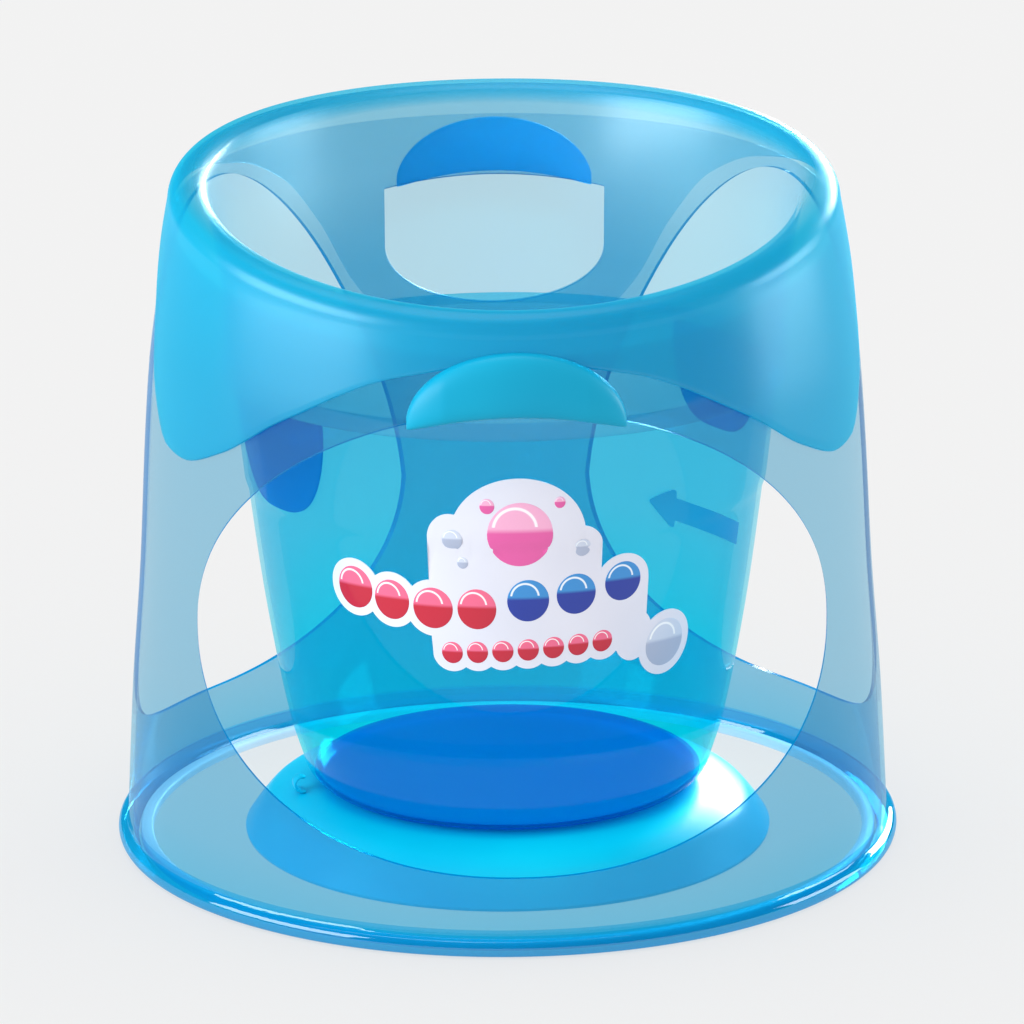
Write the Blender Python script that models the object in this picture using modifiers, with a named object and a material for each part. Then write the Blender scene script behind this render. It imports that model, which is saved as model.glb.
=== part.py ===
"""Baby bathtub: a bucket-shaped tub hung in a windowed stand by a satin rim ring.

Metres, +Z up. The front of the tub faces -Y and its rim is lower there than at the back.
The origin is the middle of the foot, on the surface that the tub stands on.
An azimuth of 0 degrees is the front, and +90 degrees is the tub's +X side.
"""
import math

import bmesh
import bpy

# Stand: a tapered wall on a rounded foot.
FOOT_RADIUS = 0.2250
FOOT_HEIGHT = 0.0095
FOOT_WALL_RADIUS = 0.2190
FOOT_REACH_IN = 0.0060
FOOT_ROUNDING = 0.0030
WALL_THICKNESS = 0.0026
# Outer wall radius by height: nearly straight below, drawing in towards the rim.
WALL_PROFILE = ((0.0090, 0.2190), (0.0900, 0.2142), (0.1620, 0.2081), (0.2320, 0.2039),
                (0.2790, 0.2002), (0.3130, 0.1955), (0.3590, 0.1877), (0.4100, 0.1775))
WALL_TOP_BELOW_CREST = 0.0225

# Rim ring: rolled rim, funnel inside it and a waved skirt outside the wall.
RING_THICKNESS = 0.0023
FIT_GAP = 0.0004
RIM_MEAN_HEIGHT = 0.3805
RIM_TILT = 0.0275
RIM_SADDLE = 0.0052
ROLL_RADIUS = 0.0125
FUNNEL_LEAN = 0.0050
COLLAR_HEIGHT = 0.2700
COLLAR_RADIUS = 0.1572
# Lower edge of the skirt: azimuth in degrees and height, the same on both sides.
SKIRT_EDGE = ((0, 0.3226), (18, 0.3140), (38, 0.2835), (51, 0.2576), (61, 0.2470), (67, 0.2500),
              (74, 0.2750), (82, 0.3260), (94, 0.3640), (110, 0.3730), (127, 0.3670),
              (139, 0.3505), (148, 0.3186), (156, 0.2750), (164, 0.2480), (180, 0.2390))

# Openings in the stand.
FRONT_WINDOW = dict(azimuth=0, centre=0.1575, half_width=0.1730, rise=0.1395, drop=0.1145,
                    lean=0.0, left_square=2.3, right_square=2.3)
SIDE_WINDOW = dict(azimuth=127, centre=0.1530, half_width=0.1260, rise=0.2115, drop=0.1105,
                   lean=-0.128, left_square=3.5, right_square=2.3)
HAND_HOLE_HALF_WIDTH = 0.0655
HAND_HOLE_TOP = 0.3420
HAND_HOLE_SHOULDER = 0.2990
HAND_HOLE_BOTTOM = 0.2610

# Bucket.
BUCKET_FLOOR = 0.0306
BUCKET_CORNER_RADIUS = 0.0180
BUCKET_CORNER_CENTRE = 0.0995
BUCKET_CORNER_LEAN = 18
CORNER_STEPS = 4
BUCKET_SIDE = ((0.1242, 0.0680), (0.1323, 0.1087), (0.1396, 0.1550), (0.1460, 0.2060))
BUCKET_BAND = ((0.1480, 0.2120), (0.1541, 0.2690))
BUCKET_NECK = ((0.1530, 0.2692), (0.1530, 0.2780))
BUCKET_THICKNESS = 0.0024

# Suction cup under the bucket.
CUP_PROFILE = ((0.0, 0.0302), (0.0980, 0.0302), (0.1120, 0.0288), (0.1250, 0.0258),
               (0.1365, 0.0200), (0.1455, 0.0100), (0.1514, 0.0016), (0.1514, 0.0))
CUP_THICKNESS = 0.0030
PULL_TAB_AZIMUTH = -80
PULL_TAB_ROOT = 0.1175
PULL_TAB_HEIGHT = 0.0283
PULL_TAB_WIDTH = 0.0100
PULL_TAB_THICKNESS = 0.0018
PULL_TAB_CURL = 0.0048

# Non-slip ring inside the foot.
FOOT_RING_OUTER = 0.2122
FOOT_RING_INNER = 0.2045
FOOT_RING_HEIGHT = 0.0045

# Hand grips: the front one, and the back one set higher by the tilt of the rim.
GRIP_HALF_WIDTH = 0.0585
GRIP_RISE = 0.0395
GRIP_ARCH = 0.0060
GRIP_DEPTH = 0.0095
GRIP_FRONT_END = 0.2890
GRIP_BACK_END = 0.3370

# Bayonet tabs, twist arrow and label.
LOCK_TAB_AZIMUTHS = dict(left=-58, right=122)
LOCK_TAB_HALF_ANGLE = 16.5
LOCK_TAB_TOP = 0.2690
LOCK_TAB_BOTTOM = 0.2125
LOCK_TAB_THICKNESS = 0.0012
ARROW_START = 29.5
ARROW_HEAD_END = 36.0
ARROW_END = 60.5
ARROW_TIP_HEIGHT = 0.2285
ARROW_DROP_PER_DEGREE = 0.00118
ARROW_HEAD_HALF = 0.0108
ARROW_SHAFT_HALF = 0.0064
FILM_THICKNESS = 0.0005
FILM_GAP = 0.0009
# Label outline: degrees from the front, with its lower and its upper edge there.
LABEL_OUTLINE = ((-43.5, 0.1690, 0.1800), (-42.0, 0.1625, 0.1885), (-37.0, 0.1575, 0.1955),
                 (-29.0, 0.1520, 0.1975), (-21.0, 0.1480, 0.2070), (-18.5, 0.1385, 0.2290),
                 (-14.0, 0.1345, 0.2380), (-7.4, 0.1345, 0.2462), (1.2, 0.1345, 0.2495),
                 (9.4, 0.1345, 0.2450), (15.0, 0.1335, 0.2330), (18.5, 0.1325, 0.2150),
                 (20.5, 0.1320, 0.2010), (25.5, 0.1295, 0.1975), (34.0, 0.1190, 0.1925),
                 (38.5, 0.1178, 0.1840), (42.5, 0.1240, 0.1720), (44.6, 0.1400, 0.1500))

AROUND = 96
TURN_STEPS = 56


def clear_scene():
    for old in list(bpy.data.objects):
        bpy.data.objects.remove(old)


def make_collection(name):
    group = bpy.data.collections.new(name)
    bpy.context.scene.collection.children.link(group)
    return group


def make_material(name, colour, roughness, alpha=1.0):
    material = bpy.data.materials.new(name)
    material.use_nodes = True
    shader = material.node_tree.nodes["Principled BSDF"]
    shader.inputs["Base Color"].default_value = (*colour, 1.0)
    shader.inputs["Roughness"].default_value = roughness
    shader.inputs["Metallic"].default_value = 0.0
    shader.inputs["Alpha"].default_value = alpha
    return material


def curve_value(points, x):
    """Height of a smooth curve through (x, value) points, by cubic Hermite spans."""
    xs = [p[0] for p in points]
    ys = [p[1] for p in points]
    if x <= xs[0]:
        return ys[0]
    if x >= xs[-1]:
        return ys[-1]
    i = max(k for k in range(len(xs) - 1) if xs[k] <= x)
    slopes = [(ys[k + 1] - ys[k]) / (xs[k + 1] - xs[k]) for k in range(len(xs) - 1)]

    def tangent(k):
        if k == 0:
            return slopes[0]
        if k == len(xs) - 1:
            return slopes[-1]
        if slopes[k - 1] * slopes[k] <= 0:
            return 0.0
        return 2 * slopes[k - 1] * slopes[k] / (slopes[k - 1] + slopes[k])

    span = xs[i + 1] - xs[i]
    t = (x - xs[i]) / span
    a = ys[i] * (1 + 2 * t) * (1 - t) ** 2 + ys[i + 1] * t * t * (3 - 2 * t)
    b = tangent(i) * span * t * (1 - t) ** 2 - tangent(i + 1) * span * t * t * (1 - t)
    return a + b


def wall_radius(height):
    return curve_value(WALL_PROFILE, height)


def skirt_radius(height):
    """Outer face of the skirt, just outside the wall."""
    return wall_radius(height) + FIT_GAP + RING_THICKNESS


def crest_height(azimuth):
    """Top of the rim: lowest at the front, highest at the back."""
    angle = math.radians(azimuth)
    return RIM_MEAN_HEIGHT - RIM_TILT * math.cos(angle) - RIM_SADDLE * math.cos(2 * angle)


def skirt_edge(azimuth):
    around = abs((azimuth + 180) % 360 - 180)
    mirrored = [(-a, h) for a, h in SKIRT_EDGE[1:2]] + list(SKIRT_EDGE)
    return curve_value(mirrored, around)


def at_azimuth(azimuth, radius, height):
    angle = math.radians(azimuth)
    return (radius * math.sin(angle), -radius * math.cos(angle), height)


def add_object(name, mesh, material, group):
    part = bpy.data.objects.new(name, mesh)
    mesh.materials.append(material)
    group.objects.link(part)
    return part


def smooth_faces(mesh, angle=40):
    mesh.shade_smooth()
    mesh.set_sharp_from_angle(angle=math.radians(angle))


def loft(name, loops, material, group, closed_row=True):
    """Skin between loops of equal length; the row of loops closes on itself or is capped."""
    shape = bmesh.new()
    rows = [[shape.verts.new(point) for point in loop] for loop in loops]
    count = len(rows[0])
    pairs = list(zip(rows, rows[1:]))
    if closed_row:
        pairs.append((rows[-1], rows[0]))
    for first, second in pairs:
        for k in range(count):
            n = (k + 1) % count
            shape.faces.new((first[k], first[n], second[n], second[k]))
    if not closed_row:
        shape.faces.new(rows[0])
        shape.faces.new(rows[-1])
    bmesh.ops.recalc_face_normals(shape, faces=shape.faces)
    mesh = bpy.data.meshes.new(name)
    shape.to_mesh(mesh)
    shape.free()
    smooth_faces(mesh)
    return add_object(name, mesh, material, group)


def turned(name, profile, material, group, closed=False, steps=TURN_STEPS):
    """Profile of (radius, height) points turned about Z with a Screw modifier."""
    mesh = bpy.data.meshes.new(name)
    edges = [(k, k + 1) for k in range(len(profile) - 1)]
    if closed:
        edges.append((len(profile) - 1, 0))
    mesh.from_pydata([(r, 0.0, z) for r, z in profile], edges, [])
    part = add_object(name, mesh, material, group)
    turn = part.modifiers.new("Turn", "SCREW")
    turn.axis = "Z"
    turn.steps = steps
    turn.render_steps = steps
    turn.use_merge_vertices = True
    turn.merge_threshold = 0.00005
    turn.use_smooth_shade = True
    return part


def cut(part, cutter):
    operation = part.modifiers.new("Cut " + cutter.name, "BOOLEAN")
    operation.operation = "DIFFERENCE"
    operation.object = cutter
    operation.solver = "EXACT"


def prism(name, outline, azimuth, near, far, group):
    """Closed prism through the wall: an outline of (sideways, height) points pushed outwards."""
    angle = math.radians(azimuth)
    side = (math.cos(angle), math.sin(angle))
    out = (math.sin(angle), -math.cos(angle))
    shape = bmesh.new()
    rows = []
    for depth in (near, far):
        rows.append([shape.verts.new((s * side[0] + depth * out[0], s * side[1] + depth * out[1], z))
                     for s, z in outline])
    count = len(outline)
    for k in range(count):
        n = (k + 1) % count
        shape.faces.new((rows[0][k], rows[0][n], rows[1][n], rows[1][k]))
    shape.faces.new(rows[0])
    shape.faces.new(rows[1])
    bmesh.ops.recalc_face_normals(shape, faces=shape.faces)
    mesh = bpy.data.meshes.new(name)
    shape.to_mesh(mesh)
    shape.free()
    cutter = bpy.data.objects.new(name, mesh)
    cutter.hide_render = True
    cutter.display_type = "WIRE"
    group.objects.link(cutter)
    return cutter


def window_outline(window, steps=44, mirrored=False):
    """Egg-shaped outline: an ellipse above its centre and a squarer curve below it."""
    points = []
    for k in range(steps):
        turn = 2 * math.pi * k / steps
        c = math.cos(turn)
        s = math.sin(turn)
        power = 2.0
        if s < 0:
            power = window["right_square"] if c > 0 else window["left_square"]
        x = math.copysign(abs(c) ** (2 / power), c) * window["half_width"]
        z = math.copysign(abs(s) ** (2 / power), s)
        z *= window["rise"] if s > 0 else window["drop"]
        if s > 0:
            x += window["lean"] * z
        points.append((-x if mirrored else x, window["centre"] + z))
    return points


def hand_hole_outline(grow=0.0, steps=16):
    """Straight sides, a bowed top under the grip and a round bottom."""
    half = HAND_HOLE_HALF_WIDTH + grow
    points = [(-half, HAND_HOLE_SHOULDER)]
    for k in range(1, steps):
        turn = math.pi + math.pi * k / steps
        depth = HAND_HOLE_SHOULDER - HAND_HOLE_BOTTOM + grow
        points.append((half * math.cos(turn), HAND_HOLE_SHOULDER + depth * math.sin(turn)))
    points.append((half, HAND_HOLE_SHOULDER))
    for k in range(7):
        x = half * (1 - k / 3)
        points.append((x, HAND_HOLE_TOP + grow - GRIP_ARCH * (x / half) ** 2))
    return points


def shell_section(azimuth):
    """Section of the stand: rounded foot, outer wall up, inner wall down."""
    top = crest_height(azimuth) - WALL_TOP_BELOW_CREST
    loop = [(FOOT_WALL_RADIUS - FOOT_REACH_IN, 0.0), (FOOT_RADIUS - FOOT_ROUNDING, 0.0)]
    middle = FOOT_HEIGHT / 2
    bead = FOOT_HEIGHT / 2 - 0.0006
    for degrees in (-30, 30, 80):
        turn = math.radians(degrees)
        loop.append((FOOT_RADIUS - bead * (1 - math.cos(turn)) * 0.7, middle + bead * math.sin(turn)))
    loop.append((FOOT_WALL_RADIUS + 0.0010, FOOT_HEIGHT))
    start = FOOT_HEIGHT + 0.0020
    rows = 5
    heights = [start + (top - start) * k / rows for k in range(rows + 1)]
    for z in heights:
        loop.append((wall_radius(z), z))
    for z in reversed(heights):
        loop.append((wall_radius(z) - WALL_THICKNESS, z))
    return [at_azimuth(azimuth, r, z) for r, z in loop]


def ring_section(azimuth):
    """Section of the rim ring: skirt up, roll over, funnel down, then back inside the skin."""
    crest = crest_height(azimuth)
    shoulder = crest - ROLL_RADIUS
    edge = skirt_edge(azimuth)
    edge = min(edge, shoulder - 0.0040)
    skirt_rows = 4
    skirt = [edge + (shoulder - edge) * k / skirt_rows for k in range(skirt_rows + 1)]
    outer = [(skirt_radius(z), z) for z in skirt]
    rim = skirt_radius(shoulder)
    roll = []
    for degrees in (30, 60, 90, 140):
        turn = math.radians(degrees)
        roll.append((rim - ROLL_RADIUS * (1 - math.cos(turn)), shoulder + ROLL_RADIUS * math.sin(turn)))
    mouth_radius, mouth_height = roll[-1]
    funnel = []
    rows = 3
    for k in range(1, rows + 1):
        t = k / rows
        bow = FUNNEL_LEAN * math.sin(math.pi * t)
        radius = mouth_radius + (COLLAR_RADIUS - mouth_radius) * t - bow
        funnel.append((radius, mouth_height + (COLLAR_HEIGHT - mouth_height) * t))
    path = outer + roll + funnel
    inside = offset_path(path, RING_THICKNESS)
    return [at_azimuth(azimuth, r, z) for r, z in path + inside[::-1]]


def offset_path(path, distance):
    """Points beside an open path, on its right-hand side as it runs."""
    points = []
    last = len(path) - 1
    for k, (r, z) in enumerate(path):
        before = path[max(k - 1, 0)]
        after = path[min(k + 1, last)]
        dr = after[0] - before[0]
        dz = after[1] - before[1]
        length = math.hypot(dr, dz)
        points.append((r - distance * dz / length, z + distance * dr / length))
    points[0] = (points[0][0], path[0][1])
    points[-1] = (points[-1][0], path[-1][1])
    return points


def bucket_outer():
    corner_lean = math.radians(BUCKET_CORNER_LEAN)
    centre_height = BUCKET_FLOOR + BUCKET_CORNER_RADIUS
    points = []
    for k in range(CORNER_STEPS + 1):
        turn = math.pi / 2 * (1 - k / CORNER_STEPS) + corner_lean * k / CORNER_STEPS
        r = BUCKET_CORNER_CENTRE + BUCKET_CORNER_RADIUS * math.cos(turn)
        points.append((r, centre_height - BUCKET_CORNER_RADIUS * math.sin(turn)))
    return points + list(BUCKET_SIDE) + list(BUCKET_BAND) + list(BUCKET_NECK)


def bucket_radius(height):
    """Outer radius of the bucket's side, straight between the points of its profile."""
    profile = bucket_outer()
    for (r0, z0), (r1, z1) in zip(profile, profile[1:]):
        if z0 <= height <= z1:
            return r0 + (r1 - r0) * (height - z0) / (z1 - z0)
    return profile[-1][0]


def make_bucket(material, group):
    outside = [(0.0, BUCKET_FLOOR)] + bucket_outer()
    inside = [(max(r - BUCKET_THICKNESS, 0.0), z) for r, z in outside]
    inside[0] = (0.0, BUCKET_FLOOR + BUCKET_THICKNESS)
    for k in range(CORNER_STEPS + 1):
        r, z = outside[k + 1]
        t = k / CORNER_STEPS
        inside[k + 1] = (r - BUCKET_THICKNESS * t, z + BUCKET_THICKNESS * (1 - t))
    return turned("bucket", inside + outside[::-1], material, group)


def make_suction_cup(material, group):
    inner = []
    for r, z in CUP_PROFILE[:-2]:
        inner.append((max(r - CUP_THICKNESS, 0.0), z - CUP_THICKNESS))
    inner[0] = (0.0, CUP_PROFILE[0][1] - CUP_THICKNESS)
    inner.append((CUP_PROFILE[-1][0] - CUP_THICKNESS, 0.0))
    return turned("suction_cup", list(CUP_PROFILE) + inner[::-1], material, group)


def make_foot_ring(material, group):
    profile = [(FOOT_RING_OUTER, FOOT_RING_HEIGHT), (FOOT_RING_OUTER, 0.0),
               (FOOT_RING_INNER, 0.0), (FOOT_RING_INNER, FOOT_RING_HEIGHT)]
    return turned("foot_ring", profile, material, group, closed=True, steps=AROUND)


def make_pull_tab(material, group):
    """Curled tongue on the shoulder of the suction cup; its origin is at its root."""
    sections = []
    steps = 9
    for k in range(steps + 1):
        t = k / steps
        turn = math.radians(-20 + 235 * t)
        out = PULL_TAB_ROOT + 0.0030 + PULL_TAB_CURL * math.sin(turn) * (1 - 0.25 * t)
        up = PULL_TAB_HEIGHT + PULL_TAB_CURL * (1 - math.cos(turn)) * (1 - 0.15 * t)
        half = PULL_TAB_WIDTH / 2 * (1 - 0.25 * t)
        normal = (math.sin(turn), -math.cos(turn))
        a = PULL_TAB_THICKNESS / 2
        sections.append([(side, out + a * s * normal[0], up + a * s * normal[1])
                         for side, s in ((-half, -1), (half, -1), (half, 1), (-half, 1))])
    angle = math.radians(PULL_TAB_AZIMUTH)
    out_axis = (math.sin(angle), -math.cos(angle))
    side_axis = (math.cos(angle), math.sin(angle))
    origin = (PULL_TAB_ROOT * out_axis[0], PULL_TAB_ROOT * out_axis[1], PULL_TAB_HEIGHT)
    loops = []
    for section in sections:
        loops.append([(side * side_axis[0] + out * out_axis[0] - origin[0],
                       side * side_axis[1] + out * out_axis[1] - origin[1], up - origin[2])
                      for side, out, up in section])
    tab = loft("pull_tab", loops, material, group, closed_row=False)
    tab.location = origin
    return tab


def make_grip(name, facing, end_height, material, group):
    """Puffed crescent lying on the skirt: facing is -1 at the front and +1 at the back."""
    loops = []
    steps = 18
    around = 10
    for k in range(steps + 1):
        u = math.sin(math.pi / 2 * (2 * k / steps - 1)) * 0.985
        x = GRIP_HALF_WIDTH * u
        tip = math.sqrt(1 - u * u)
        low = end_height + GRIP_ARCH * (1 - u * u) - 0.0050 * tip ** 0.5 * (1 - tip)
        high = end_height + GRIP_RISE * tip
        middle = (low + high) / 2
        half = (high - low) / 2
        loop = []
        for j in range(around):
            turn = 2 * math.pi * j / around
            z = middle + half * math.cos(turn)
            bulge = max(0.0, math.sin(turn)) ** 0.55 * GRIP_DEPTH * min(1.0, 0.25 + tip)
            radius = skirt_radius(z) + FIT_GAP + bulge
            loop.append((x, facing * math.sqrt(radius ** 2 - x * x), z))
        loops.append(loop)
    return loft(name, loops, material, group, closed_row=False)


def film_section(azimuth, low, high, thickness, rows=3):
    """Section of a thin film lying on the bucket, between two heights."""
    heights = [low + (high - low) * k / rows for k in range(rows + 1)]
    inner = [at_azimuth(azimuth, bucket_radius(z) + FILM_GAP, z) for z in heights]
    outer = [at_azimuth(azimuth, bucket_radius(z) + FILM_GAP + thickness, z) for z in heights]
    return inner + outer[::-1]


def make_lock_tab(name, azimuth, material, group):
    """U-shaped tab of the bayonet, hanging over the bucket's band."""
    loops = []
    steps = 14
    for k in range(steps + 1):
        u = math.sin(math.pi / 2 * (2 * k / steps - 1)) * 0.995
        low = LOCK_TAB_TOP - (LOCK_TAB_TOP - LOCK_TAB_BOTTOM) * (1 - abs(u) ** 3.2) ** 0.55
        low = min(low, LOCK_TAB_TOP - 0.0020)
        at = azimuth + LOCK_TAB_HALF_ANGLE * u
        loops.append(film_section(at, low, LOCK_TAB_TOP, LOCK_TAB_THICKNESS))
    return loft(name, loops, material, group, closed_row=False)


def make_arrow(material, group):
    """Curved arrow that shows which way the bucket turns."""
    stations = [(ARROW_START, 0.0012), (ARROW_START + 3, ARROW_HEAD_HALF * 0.55),
                (ARROW_HEAD_END, ARROW_HEAD_HALF), (ARROW_HEAD_END + 0.1, ARROW_SHAFT_HALF)]
    shaft_steps = 7
    for k in range(1, shaft_steps + 1):
        at = ARROW_HEAD_END + (ARROW_END - ARROW_HEAD_END) * k / shaft_steps
        stations.append((at, ARROW_SHAFT_HALF))
    loops = []
    for at, half in stations:
        middle = ARROW_TIP_HEIGHT - ARROW_DROP_PER_DEGREE * (at - ARROW_START)
        loops.append(film_section(at, middle - half, middle + half, FILM_THICKNESS, rows=2))
    return loft("twist_arrow", loops, material, group, closed_row=False)


def make_label(material, group):
    """Plain cloud-shaped label on the front of the bucket, with a round crown."""
    lower = [(at, low) for at, low, high in LABEL_OUTLINE]
    upper = [(at, high) for at, low, high in LABEL_OUTLINE]
    first = LABEL_OUTLINE[0][0]
    last = LABEL_OUTLINE[-1][0]
    loops = []
    steps = 34
    for k in range(steps + 1):
        at = first + (last - first) * k / steps
        loops.append(film_section(at, curve_value(lower, at), curve_value(upper, at), FILM_THICKNESS, rows=6))
    return loft("front_label", loops, material, group, closed_row=False)


def make_materials():
    return dict(
        clear=make_material("clear_blue", (0.42, 0.70, 0.84), 0.12, 0.45),
        satin=make_material("satin_blue", (0.16, 0.58, 0.84), 0.42, 0.75),
        bucket=make_material("bucket_blue", (0.06, 0.50, 0.80), 0.10, 0.55),
        cyan=make_material("cyan_soft", (0.0, 0.60, 0.84), 0.22),
        grip=make_material("grip_cyan", (0.0, 0.50, 0.68), 0.25),
        tab=make_material("tab_blue", (0.0, 0.36, 0.68), 0.20),
        arrow=make_material("arrow_blue", (0.0, 0.36, 0.70), 0.30),
        label=make_material("label_white", (0.85, 0.84, 0.90), 0.35),
        rubber=make_material("foot_rubber", (0.80, 0.84, 0.88), 0.45),
    )


def main():
    clear_scene()
    group = make_collection("baby_bathtub")
    cutters = make_collection("cutters")
    paint = make_materials()

    turns = [360 * k / AROUND for k in range(AROUND)]
    shell = loft("support_shell", [shell_section(a) for a in turns], paint["clear"], group)
    ring = loft("rim_ring", [ring_section(a) for a in turns], paint["satin"], group)

    front = prism("front_window_cut", window_outline(FRONT_WINDOW), 0, 0.05, 0.30, cutters)
    cut(shell, front)
    for name, sign in (("right", 1), ("left", -1)):
        outline = window_outline(SIDE_WINDOW, mirrored=sign < 0)
        azimuth = sign * SIDE_WINDOW["azimuth"]
        cut(shell, prism(name + "_window_cut", outline, azimuth, 0.08, 0.30, cutters))
    hole = prism("hand_hole_cut", hand_hole_outline(), 180, 0.1660, 0.30, cutters)
    cut(shell, hole)
    cut(ring, hole)

    make_bucket(paint["bucket"], group)
    make_suction_cup(paint["cyan"], group)
    make_pull_tab(paint["cyan"], group)
    make_foot_ring(paint["rubber"], group)
    make_grip("grip_front", -1, GRIP_FRONT_END, paint["grip"], group)
    make_grip("grip_back", 1, GRIP_BACK_END, paint["grip"], group)
    for side, azimuth in LOCK_TAB_AZIMUTHS.items():
        make_lock_tab("lock_tab_" + side, azimuth, paint["tab"], group)
    make_arrow(paint["arrow"], group)
    make_label(paint["label"], group)


main()
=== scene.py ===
"""Looks of the bucket baby bathtub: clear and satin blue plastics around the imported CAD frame.

Metres, +Z up, front towards -Y. An azimuth of 0 degrees is the front and +90 degrees is +X.
"""
import math

import bmesh
import bpy
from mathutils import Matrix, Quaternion, Vector
from mathutils.bvhtree import BVHTree
from mathutils.interpolate import poly_3d_calc


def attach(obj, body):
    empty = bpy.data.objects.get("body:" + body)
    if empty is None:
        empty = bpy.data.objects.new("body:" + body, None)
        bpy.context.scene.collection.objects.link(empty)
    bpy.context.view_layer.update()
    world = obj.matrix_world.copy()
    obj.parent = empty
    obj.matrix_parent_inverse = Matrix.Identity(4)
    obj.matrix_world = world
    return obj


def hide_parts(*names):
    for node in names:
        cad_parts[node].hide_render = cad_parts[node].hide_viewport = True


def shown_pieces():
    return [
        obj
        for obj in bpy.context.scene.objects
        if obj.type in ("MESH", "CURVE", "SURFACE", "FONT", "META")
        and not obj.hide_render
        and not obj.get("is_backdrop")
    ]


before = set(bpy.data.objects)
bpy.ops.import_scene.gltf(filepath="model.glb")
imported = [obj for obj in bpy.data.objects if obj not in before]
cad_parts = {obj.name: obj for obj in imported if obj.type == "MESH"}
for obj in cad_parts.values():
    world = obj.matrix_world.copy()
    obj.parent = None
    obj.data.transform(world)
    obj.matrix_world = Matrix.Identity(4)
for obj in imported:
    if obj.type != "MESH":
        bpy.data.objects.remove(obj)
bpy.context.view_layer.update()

# Shape of the CAD part in metres and degrees, repeated here with finer steps.
FOOT_RADIUS = 0.2245
FOOT_HEIGHT = 0.0095
FOOT_WALL_RADIUS = 0.2190
FOOT_REACH_IN = 0.0060
FOOT_ROUNDING = 0.0042
WALL_THICKNESS = 0.0026
WALL_PROFILE = ((0.0090, 0.2190), (0.0900, 0.2142), (0.1620, 0.2081), (0.2320, 0.2039),
                (0.2790, 0.2002), (0.3130, 0.1955), (0.3590, 0.1877), (0.4100, 0.1775))
WALL_TOP_BELOW_CREST = 0.0225
RING_THICKNESS = 0.0023
FIT_GAP = 0.0004
RIM_MEAN_HEIGHT = 0.3805
RIM_TILT = 0.0275
RIM_SADDLE = 0.0052
ROLL_RADIUS = 0.0125
ROLL_TURN = 140
FUNNEL_LEAN = 0.0050
COLLAR_HEIGHT = 0.2700
COLLAR_RADIUS = 0.1572
SKIRT_EDGE = ((0, 0.3226), (18, 0.3140), (38, 0.2835), (51, 0.2576), (61, 0.2470), (67, 0.2500),
              (74, 0.2750), (82, 0.3260), (94, 0.3640), (110, 0.3730), (127, 0.3670),
              (139, 0.3505), (148, 0.3186), (156, 0.2750), (164, 0.2480), (180, 0.2390))
FRONT_WINDOW = dict(azimuth=0, centre=0.1575, half_width=0.1730, rise=0.1395, drop=0.1145,
                    lean=0.0, left_square=2.3, right_square=2.3)
SIDE_WINDOW = dict(azimuth=127, centre=0.1530, half_width=0.1260, rise=0.2115, drop=0.1105,
                   lean=-0.128, left_square=3.5, right_square=2.3)
HAND_HOLE_HALF_WIDTH = 0.0655
HAND_HOLE_TOP = 0.3420
HAND_HOLE_SHOULDER = 0.2990
HAND_HOLE_BOTTOM = 0.2610
BUCKET_FLOOR = 0.0306
BUCKET_CORNER_RADIUS = 0.0180
BUCKET_CORNER_CENTRE = 0.0995
BUCKET_CORNER_LEAN = 18
BUCKET_THICKNESS = 0.0024
BUCKET_SIDE = ((0.0620, 0.12215), (0.0680, 0.1242), (0.1087, 0.1323), (0.1550, 0.1396), (0.2060, 0.1460))
BUCKET_BAND = ((0.2120, 0.1480), (0.2690, 0.1541))
BUCKET_NECK_RADIUS = 0.1530
BUCKET_NECK_TOP = 0.2780
CUP_PROFILE = ((0.0980, 0.0302), (0.1120, 0.0288), (0.1250, 0.0258), (0.1365, 0.0200),
               (0.1455, 0.0100), (0.1514, 0.0016))
CUP_THICKNESS = 0.0030
GRIP_HALF_WIDTH = 0.0585
GRIP_RISE = 0.0395
GRIP_ARCH = 0.0060
GRIP_DEPTH = 0.0095
GRIP_FRONT_END = 0.2890
GRIP_BACK_END = 0.3370
LOCK_TAB_HALF_ANGLE = 16.5
LOCK_TAB_TOP = 0.2690
LOCK_TAB_BOTTOM = 0.2125
ARROW_START = 29.5
ARROW_HEAD_END = 36.0
ARROW_END = 60.5
ARROW_TIP_HEIGHT = 0.2285
ARROW_DROP_PER_DEGREE = 0.00118
ARROW_HEAD_HALF = 0.0108
ARROW_SHAFT_HALF = 0.0064
FILM_GAP = 0.0009
# Print on the label: azimuth, height, half width and half height of each bubble.
RED_DISCS = ((-36.8, 0.1775, 0.0112, 0.0122), (-27.6, 0.1735, 0.0104, 0.0116),
             (-18.0, 0.1710, 0.0112, 0.0120), (-8.2, 0.1715, 0.0106, 0.0118))
BLUE_DISCS = ((3.0, 0.1765, 0.0114, 0.0122), (13.6, 0.1790, 0.0110, 0.0118), (24.4, 0.1835, 0.0108, 0.0114))
SMALL_DISCS = tuple((-14.0 + 5.7 * k, 0.1452 + 0.0007 * k, 0.0058, 0.0064) for k in range(7))
PINK_DISCS = ((1.2, 0.2155, 0.0178, 0.0186), (-5.6, 0.2320, 0.0040, 0.0044), (9.4, 0.2335, 0.0030, 0.0033))
GREY_DISCS = ((37.0, 0.1420, 0.0130, 0.0140), (-13.0, 0.2120, 0.0056, 0.0060),
              (-11.0, 0.1985, 0.0030, 0.0033), (14.6, 0.2060, 0.0046, 0.0050))
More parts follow.
